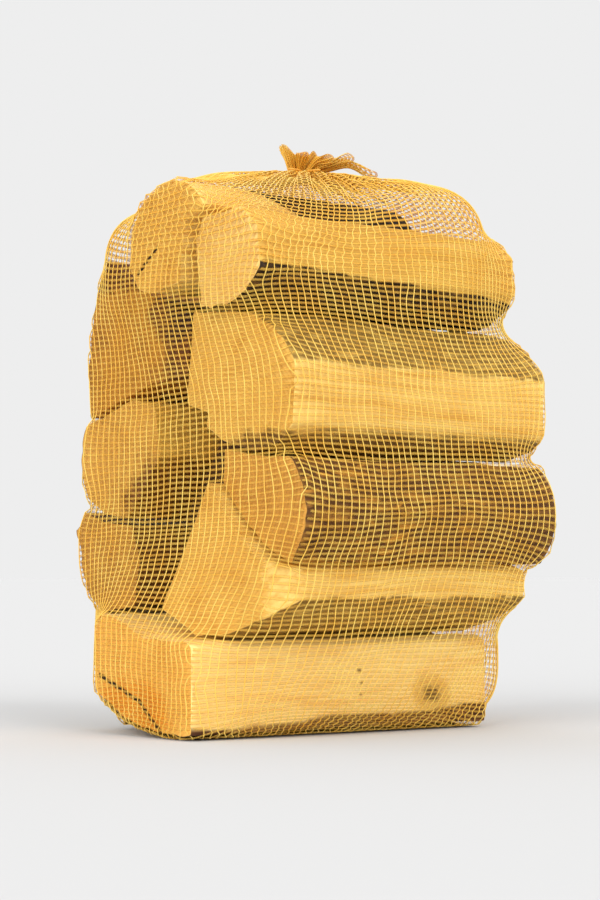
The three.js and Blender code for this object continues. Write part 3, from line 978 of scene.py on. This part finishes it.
def neck_crest(turn):
    """How near a fold's crest each warp lies, from 0 to 1: a rounded cosine."""
    return (0.5 + 0.5 * np.cos(neck_phase(turn))) ** 0.8


def fold_neck(surface):
    """Tied shut, the neck is drawn in to deep folds: away from the crests each warp is scaled towards
    the middle, and less with the square of its distance from the neck."""
    middle = surface[-1].mean(0)[:2]
    rel = surface[..., :2] - middle
    away = np.hypot(rel[..., 0], rel[..., 1])
    near = np.clip(1 - (away - NECK_RADIUS) / NECK_FOLD_REACH, 0, 1) ** 2
    drawn = 1 - NECK_PINCH * (1 - neck_crest(neck_turns(surface))) * near
    return np.concatenate([middle + rel * drawn[..., None], surface[..., 2:]], -1)


FRILL_ROWS = 13
FRILL_REACH = 28 * mm
FRILL_LEAN = np.array([0.731, -0.682]) * 18 * mm
FRILL_LOBES = ((-15, 11, 9), (6, 6, 8), (28, 3, 10), (50, -8, 10))
FRILL_RISE = 6.5
FRILL_BACK_SPREAD = 0.42
NECK_STRETCH = 6 * mm
NECK_ROWS = 3


def frill(neck):
    """The cut mouth above the neck's straight stretch. It fans out in deep folds of uneven size and leans
    to one side, away from which it stands nearly upright. Its edge rises in a few lobes, each a bell
    curve of the distance along the lean, whose place, height and width are in millimetres, and ripples
    by cosines of the bearing."""
    turn = neck_turns(neck[None])
    share = np.linspace(0, 1, FRILL_ROWS + 1)[1:, None]
    phase, fold = neck_phase(turn), neck_crest(turn)
    size = 0.72 + 0.16 * np.cos(3 * turn + 2.2) + 0.12 * np.cos(8 * turn)
    facing = 0.5 + 0.5 * np.cos(turn - math.atan2(FRILL_LEAN[1], FRILL_LEAN[0]))
    size = size * (FRILL_BACK_SPREAD + (1 - FRILL_BACK_SPREAD) * facing)
    radius = NECK_RADIUS * (1 - NECK_PINCH * (1 - fold)) + share**1.2 * FRILL_REACH * fold * size
    bearing = turn + 0.10 * share * np.sin(2 * phase)
    flat = np.stack([np.cos(bearing), np.sin(bearing)], -1) * radius[..., None]
    flat = flat + FRILL_LEAN * (share**1.2 * facing)[..., None]
    along = flat @ (FRILL_LEAN / np.linalg.norm(FRILL_LEAN)) / mm
    lobes = sum(tall * np.exp(-(((along - place) / wide) ** 2)) for place, tall, wide in FRILL_LOBES)
    ripple = 1.3 * np.cos(2 * phase + 0.8) + 1.0 * np.cos(31 * turn)
    climb = np.linspace(0, NECK_STRETCH, NECK_ROWS + 1)[1:, None, None]
    straight = neck[None] + climb * np.array([0, 0, 1.0])
    z = NECK_HEIGHT + NECK_STRETCH + ((FRILL_RISE + lobes) * share**0.8 + ripple * share) * mm
    fan = np.concatenate([flat + neck.mean(0)[:2], z[..., None]], -1)
    return np.concatenate([straight, fan])


body_rows = keep_clear(wander(bag_surface(), seed=31))
body_rows = add_pleats(draw_in_cells(body_rows, seed=55), seed=71)
body_rows = fold_neck(keep_clear(body_rows))
net = np.concatenate([body_rows, frill(body_rows[-1])])

GATHER_REACH = (75 * mm, 15 * mm)
SLACK_GATHER = 0.22
FRILL_GATHER = 0.55


def gathering():
    """How far the net is drawn together at each crossing, from 0 to 1: fully at the neck and evenly less
    away from it, never less than a little on the slack top, and less in the frill, which fans out."""
    from_neck = np.linalg.norm(net - body_rows[-1].mean(0), axis=2)
    drawn = np.clip((GATHER_REACH[0] - from_neck) / (GATHER_REACH[0] - GATHER_REACH[1]), 0, 1)
    drawn = np.maximum(drawn, SLACK_GATHER * slack_on_top(net))
    drawn[len(body_rows) + NECK_ROWS :] *= FRILL_GATHER
    return drawn


gather = gathering()


def thread_mesh(name, sections, closed, gathered=None, node="net_bag"):
    """Threads as one mesh: sections has shape (threads, places, corners, 3). Neighbouring sections of a
    thread are joined by quads, and its last to its first if it is closed; open ends get a face.
    gathered is how far the net is drawn together at each place, from 0 to 1."""
    threads, places, corners, _ = sections.shape
    index = np.arange(threads * places * corners).reshape(threads, places, corners)
    here = index if closed else index[:, :-1]
    onward = np.roll(index, -1, 1) if closed else index[:, 1:]
    quads = np.stack([here, np.roll(here, -1, 2), np.roll(onward, -1, 2), onward], -1).reshape(-1, 4)
    if not closed:
        quads = np.vstack([quads, index[:, 0, ::-1], index[:, -1]])
    piece = mesh_object(name, sections.reshape(-1, 3), quads.ravel(), np.full(len(quads), 4))
    if gathered is not None:
        attribute = piece.data.attributes.new("gathered", "FLOAT", "POINT")
        attribute.data.foreach_set("value", np.repeat(gathered.ravel(), corners).astype(np.float32))
    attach(piece, "root")
    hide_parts(node)
    return piece


WARP_RADIUS = 0.40 * mm
WARP_STANDS_OFF = 0.3 * mm
WEFT_HALF_WIDTH = 1.0 * mm
WEFT_HALF_THICKNESS = 0.12 * mm
around, upward, outward = directions(net)


def make_warps():
    """Each upright thread: a four-sided tube along one column of crossings, just outside the wefts."""
    middle = net + outward * WARP_STANDS_OFF
    corners = [outward, -around, -outward, around]
    sections = np.stack([middle + WARP_RADIUS * way for way in corners], 2)
    return thread_mesh("net_warps", sections.transpose(1, 0, 2, 3), closed=False, gathered=gather.T)


def make_wefts(name, rows):
    """Each flat tape: a lozenge carried round one row of crossings, with a further section between each
    two, on the curve through the four nearest."""
    thick, wide = outward[rows] * WEFT_HALF_THICKNESS, upward[rows] * WEFT_HALF_WIDTH
    sections = np.stack([net[rows] + way for way in (thick, wide, -thick, -wide)], 2)
    neighbours = sections + np.roll(sections, -1, 1)
    further = np.roll(sections, 1, 1) + np.roll(sections, -2, 1)
    both = np.stack([sections, (9 * neighbours - further) / 16], 2)
    gathered = np.repeat(gather[rows], 2, axis=1)
    return thread_mesh(name, both.reshape(len(thick), -1, 4, 3), closed=True, gathered=gathered)


net_plastic, takes, gives = new_group(
    "net_plastic",
    {"Vector": "Vector", "Light": "Color", "Deep": "Color", "Crowded": "Color", "Gather": "Float"},
    {"Color": "Color", "Roughness": "Float"},
)
drift = noise(net_plastic, takes["Vector"], (40, 40, 40), 3, 0.6)
toned = mix(net_plastic, fade(net_plastic, drift, 0.3, 0.7), takes["Light"], takes["Deep"])
crowding = calc(net_plastic, "MULTIPLY", takes["Gather"], fade(net_plastic, drift, 0.25, 0.6))
net_plastic.links.new(mix(net_plastic, crowding, toned, takes["Crowded"]), gives["Color"])
scuff = noise(net_plastic, takes["Vector"], (400, 400, 400), 2)
net_plastic.links.new(calc(net_plastic, "MULTIPLY_ADD", scuff, 0.3, 0.3), gives["Roughness"])

CROWDED_NET = paint(246, 186, 62)
GATHERED_ALPHA = 0.72
FULLY_LAYERED = 0.6


def net_finish(name, light, deep, alpha):
    """Amber polyethylene: its colour drifts between two tones, deeper where the net is gathered, and its
    gloss is scuffed. Clear tapes lie in several layers where it is gathered, so they hide more there."""
    material = bpy.data.materials.new(name)
    material.use_nodes = True
    tree = material.node_tree
    shader = tree.nodes["Principled BSDF"]
    place = put(tree, "ShaderNodeTexCoord", {})["Object"]
    gathered = put(tree, "ShaderNodeAttribute", {}, attribute_name="gathered")["Fac"]
    tones = {"Light": light, "Deep": deep, "Crowded": CROWDED_NET, "Gather": gathered}
    outputs = put_group(tree, net_plastic, {"Vector": place, **tones})
    tree.links.new(outputs["Color"], shader.inputs["Base Color"])
    tree.links.new(outputs["Roughness"], shader.inputs["Roughness"])
    if alpha < 1:
        sockets = {"Value": gathered, "From Min": 0.0, "From Max": FULLY_LAYERED}
        sockets.update({"To Min": alpha, "To Max": GATHERED_ALPHA})
        tree.links.new(put(tree, "ShaderNodeMapRange", sockets)["Result"], shader.inputs["Alpha"])
    return material


warp_finish = net_finish("warp_plastic", paint(244, 210, 104), paint(240, 190, 72), 1.0)
weft_finish = net_finish("weft_plastic", paint(244, 198, 80), paint(232, 172, 52), 0.28)
make_warps().data.materials.append(warp_finish)
half = len(net) // 2
make_wefts("net_wefts_lower", slice(1, half)).data.materials.append(weft_finish)
make_wefts("net_wefts_upper", slice(half, len(net))).data.materials.append(weft_finish)


# ---- bottom seam ----
# The two sides of the tube are laid together under the logs, folded once to a flat hem, and locked by a
# zigzag of the same thread.

HEM_HALF_WIDTH = 2.6 * mm
HEM_HALF_THICKNESS = 0.45 * mm
STITCH_STEP = 2.2 * mm
STITCH_HALF_WIDTH = 1.9 * mm
STITCH_RADIUS = 0.3 * mm
HEM_PLACES = 120

seam_ends = net[0][:, 0].min(), net[0][:, 0].max()


def make_hem():
    """A flat hem: a six-sided lozenge carried along the seam, its width wandering by two sines."""
    at = np.linspace(*seam_ends, HEM_PLACES)[:, None]
    width = HEM_HALF_WIDTH * (1 + 0.12 * np.sin(at * 310) + 0.08 * np.sin(at * 730))
    across = width * np.array([-1, -0.6, 0.6, 1, 0.6, -0.6])
    up = FLOOR_CLEARANCE + HEM_HALF_THICKNESS * np.array([0, -1, -1, 0, 1, 1])
    rings = np.stack(np.broadcast_arrays(at, across, up), -1)
    hem = closed_skin("net_hem", rings)
    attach(hem, "root")
    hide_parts("net_bag")
    return hem


def make_stitches():
    """The zigzag under the hem: a thin four-sided thread along a triangle wave."""
    at = np.arange(seam_ends[0], seam_ends[1], STITCH_STEP / 4)
    swing = 2 * np.abs((at / STITCH_STEP / 2) % 1 - 0.5) * 2 - 1
    level = FLOOR_CLEARANCE - HEM_HALF_THICKNESS
    path = np.stack([at, swing * STITCH_HALF_WIDTH, np.full(len(at), level)], -1)
    corners = np.array([[0, 0, 1], [0, -1, 0], [0, 0, -1], [0, 1, 0]]) * STITCH_RADIUS
    return thread_mesh("net_stitches", (path[:, None] + corners)[None], closed=False)


make_hem().data.materials.append(warp_finish)
make_stitches().data.materials.append(warp_finish)


# ---- drawstring ----
# A soft three-strand cord of the same plastic, drawn twice round the neck and tied on the near side in a
# small overhand knot. Its two cut tails lie down over the gathered net.

CORD_RADIUS = 0.9 * mm
CORD_SIDES = 12
STRANDS = 3
STRAND_LAY = 8 * mm
TURNS = 2
KNOT_BEARING = math.radians(228)
KNOT_SIZE = 1.15 * mm
KNOT_STANDS_OFF = 2.4 * CORD_RADIUS
KNOT_CLIMB = 2.6 * mm
TAIL_LENGTH = 16 * mm
TAIL_TURN = math.radians(24)
TAIL_GAP = 0.8 * mm
TAIL_FEELS = 5 * mm
TAIL_SETTLES = 0.25


def cord_sections(path, closed=False):
    """A cord round a path, shape (places, sides, 3): its radius swells on each strand, and the strands
    wind round as the path is walked."""
    ahead = np.roll(path, -1, 0) - np.roll(path, 1, 0) if closed else np.gradient(path, axis=0)
    ahead /= np.linalg.norm(ahead, axis=1)[:, None]
    side = np.cross(ahead, [0, 0, 1.0])
    side /= np.linalg.norm(side, axis=1)[:, None]
    over = np.cross(side, ahead)
    walked = np.concatenate([[0], np.cumsum(np.linalg.norm(np.diff(path, axis=0), axis=1))])
    angle = np.linspace(0, 2 * np.pi, CORD_SIDES, endpoint=False)
    lay = 2 * np.pi * walked[:, None] / STRAND_LAY
    radius = CORD_RADIUS * (0.9 + 0.13 * np.cos(STRANDS * (angle[None] - lay)))
    around_path = np.cos(angle)[None, :, None] * side[:, None] + np.sin(angle)[None, :, None] * over[:, None]
    return path[:, None] + radius[..., None] * around_path


def cord_piece(name, path, closed=False):
    """One piece of the drawstring along a path, closed on itself or with its two ends shut."""
    sections = cord_sections(path, closed)
    if closed:
        return thread_mesh(name, sections[None], True, node="drawstring")
    piece = closed_skin(name, sections)
    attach(piece, "root")
    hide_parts("drawstring")
    return piece


neck_middle = body_rows[-1].mean(0)
turn_radius = NECK_RADIUS + WARP_RADIUS * 2 + CORD_RADIUS
knot_way = np.array([math.cos(KNOT_BEARING), math.sin(KNOT_BEARING), 0])
knot_middle = neck_middle + knot_way * (turn_radius + KNOT_STANDS_OFF)
knot_middle = knot_middle + np.array([0, 0, KNOT_CLIMB])


def turns_path():
    """Two turns of a helix round the neck. It climbs by one cord's thickness in all, so that the turns
    overlap by half of it."""
    turn = KNOT_BEARING + np.linspace(0, 2 * np.pi * TURNS, 140)
    climb = np.linspace(CORD_RADIUS, CORD_RADIUS * 3, len(turn))
    ring = np.stack([np.cos(turn) * turn_radius, np.sin(turn) * turn_radius, climb], -1)
    return neck_middle + ring


def knot_path():
    """An overhand knot: the closed curve (sin t + 2 sin 2t, cos t - 2 cos 2t, -sin 3t), set upright."""
    t = np.linspace(0, 2 * np.pi, 90, endpoint=False)
    curve = np.stack([np.sin(t) + 2 * np.sin(2 * t), -1.3 * np.sin(3 * t), np.cos(t) - 2 * np.cos(2 * t)], -1)
    sideways = np.array([-knot_way[1], knot_way[0], 0])
    return knot_middle + KNOT_SIZE * (
        curve[:, :1] * sideways + curve[:, 1:2] * knot_way + curve[:, 2:] * np.array([0, 0, 0.8])
    )


def tail_path(way):
    """A tail: outwards from the knot in a shallow curve, down to just above the highest thread near it."""
    share = np.linspace(0, 1, 40)
    bearing = KNOT_BEARING + way * TAIL_TURN * (1 + 0.8 * share)
    flat = knot_middle[:2] + np.stack([np.cos(bearing), np.sin(bearing)], -1) * (share * TAIL_LENGTH)[:, None]
    top = body_rows[body_rows[..., 2] > CROWN_FROM]
    near = ((flat[:, None] - top[None, :, :2]) ** 2).sum(2) < TAIL_FEELS**2
    height = np.where(near, top[None, :, 2], 0).max(1) + CORD_RADIUS + TAIL_GAP
    smooth = np.convolve(np.pad(height, 4, mode="edge"), np.ones(9) / 9, mode="valid")
    height = np.maximum(height, smooth)
    settle = np.clip(share / TAIL_SETTLES, 0, 1)
    return np.column_stack([flat, knot_middle[2] * (1 - settle) + height * settle])


cord_finish = net_finish("cord_plastic", paint(236, 180, 66), paint(218, 150, 44), 1.0)
for cord in (
    cord_piece("drawstring_turns", turns_path()),
    cord_piece("drawstring_knot", knot_path(), closed=True),
    cord_piece("drawstring_tail_left", tail_path(-1)),
    cord_piece("drawstring_tail_right", tail_path(1)),
):
    cord.data.materials.append(cord_finish)
